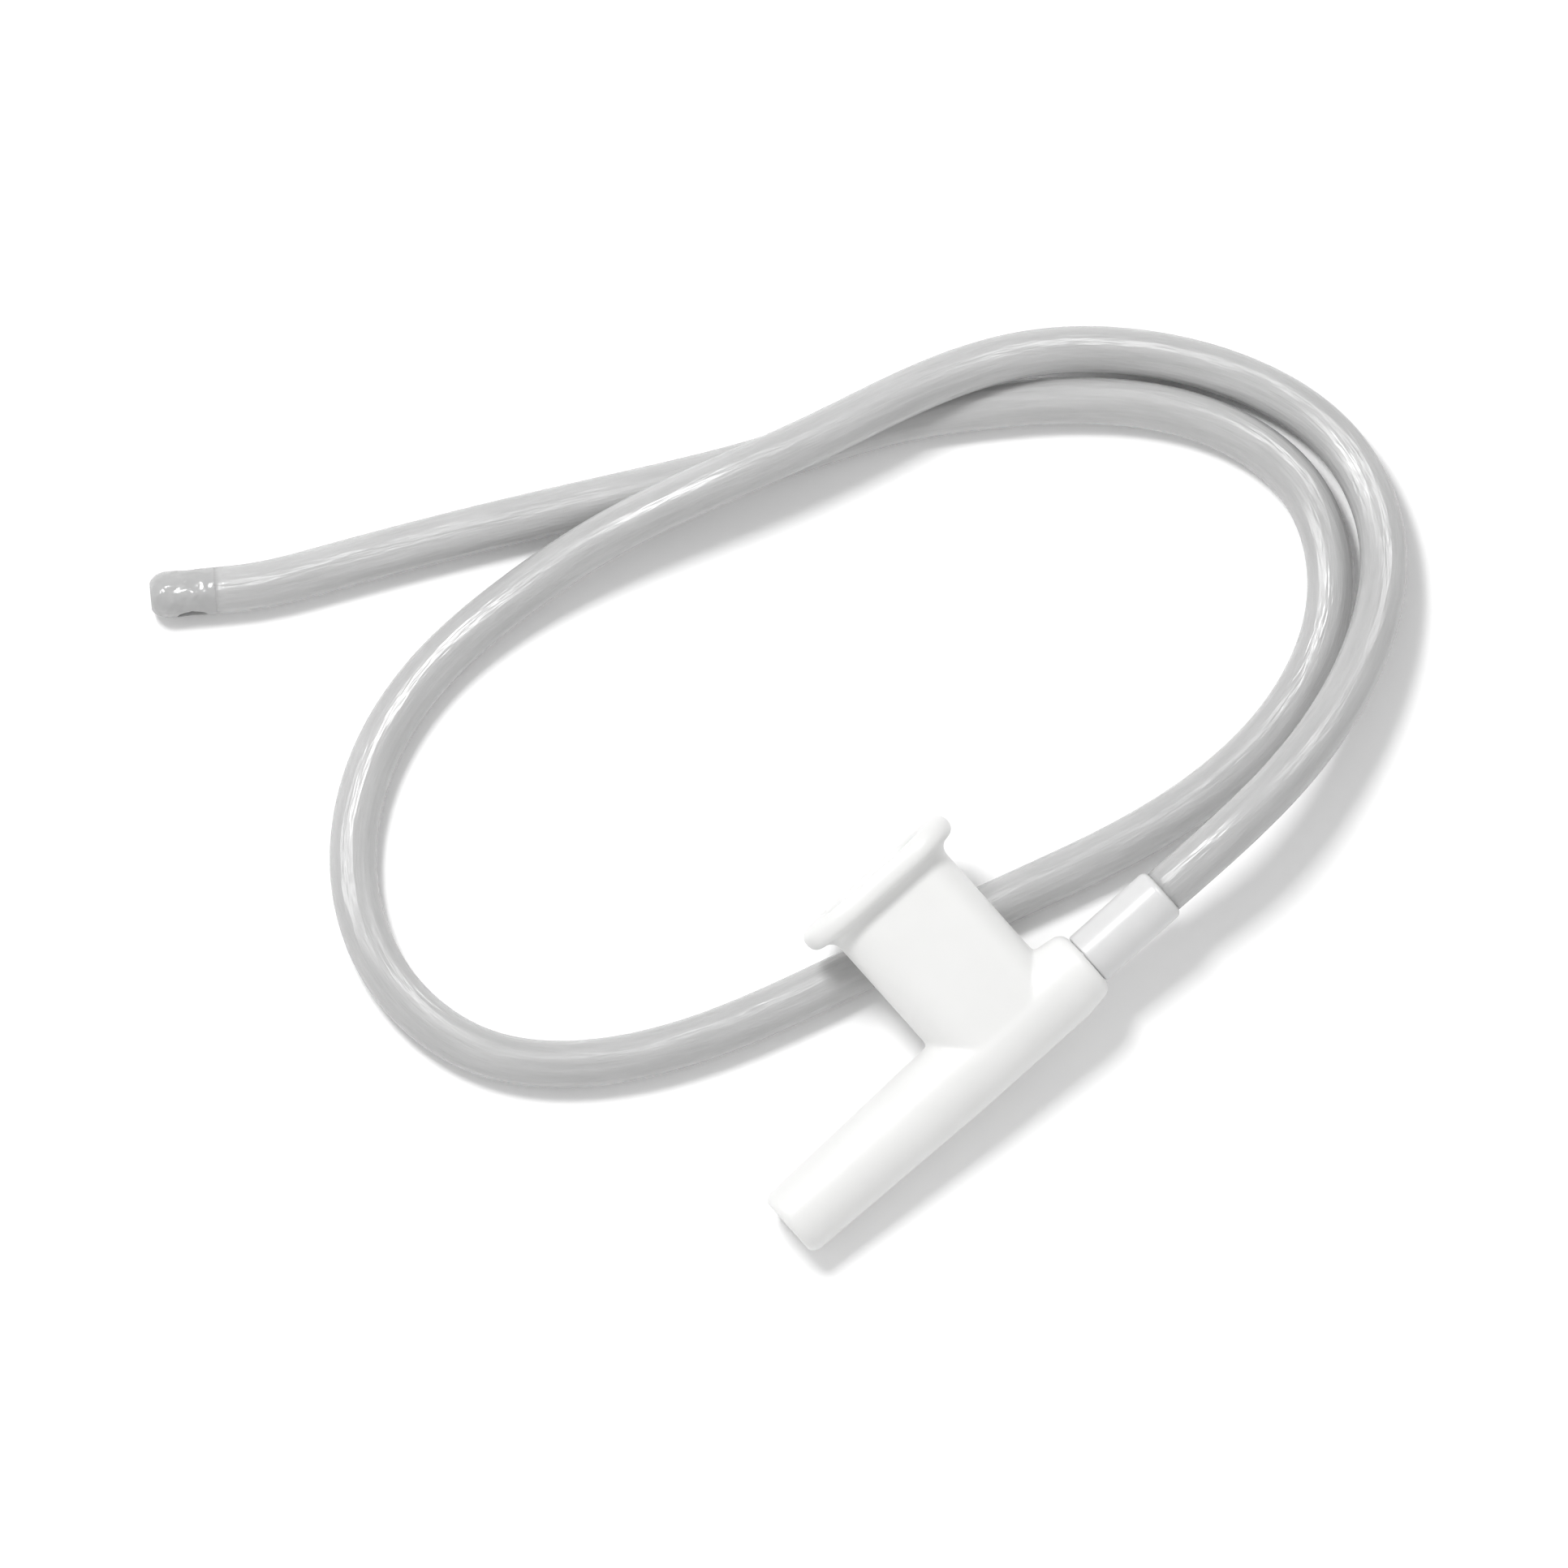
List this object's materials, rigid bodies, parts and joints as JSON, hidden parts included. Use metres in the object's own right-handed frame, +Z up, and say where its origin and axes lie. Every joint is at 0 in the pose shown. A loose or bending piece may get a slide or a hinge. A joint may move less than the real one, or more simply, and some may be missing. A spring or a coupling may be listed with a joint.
{
  "type": "looped suction catheter",
  "caption": "Flexible suction catheter laid in loops: white valve with a tapered barrel and a flat flared thumb port, a coupling sleeve, and a clear tube ending in a domed tip with side eyes.",
  "frame": {"origin": "on the table, under the middle of the valve and its sleeve", "axes": "+X along the valve from its suction barrel to the catheter, +Y towards the thumb port, +Z up from the table"},
  "size_m": [0.1424, 0.1218, 0.0221],
  "materials": {
    "valve_plastic": "satin white polyethylene, as moulded",
    "sleeve_vinyl": "translucent grey-white vinyl",
    "tube_vinyl": "clear extruded vinyl, slightly grey",
    "tip_vinyl": "clear heat-polished vinyl"
  },
  "bodies": {
    "root": {"valve_body": "valve_plastic", "catheter_sleeve": "sleeve_vinyl", "catheter_tube": "tube_vinyl", "catheter_tip": "tip_vinyl"}
  },
  "joints": []
}
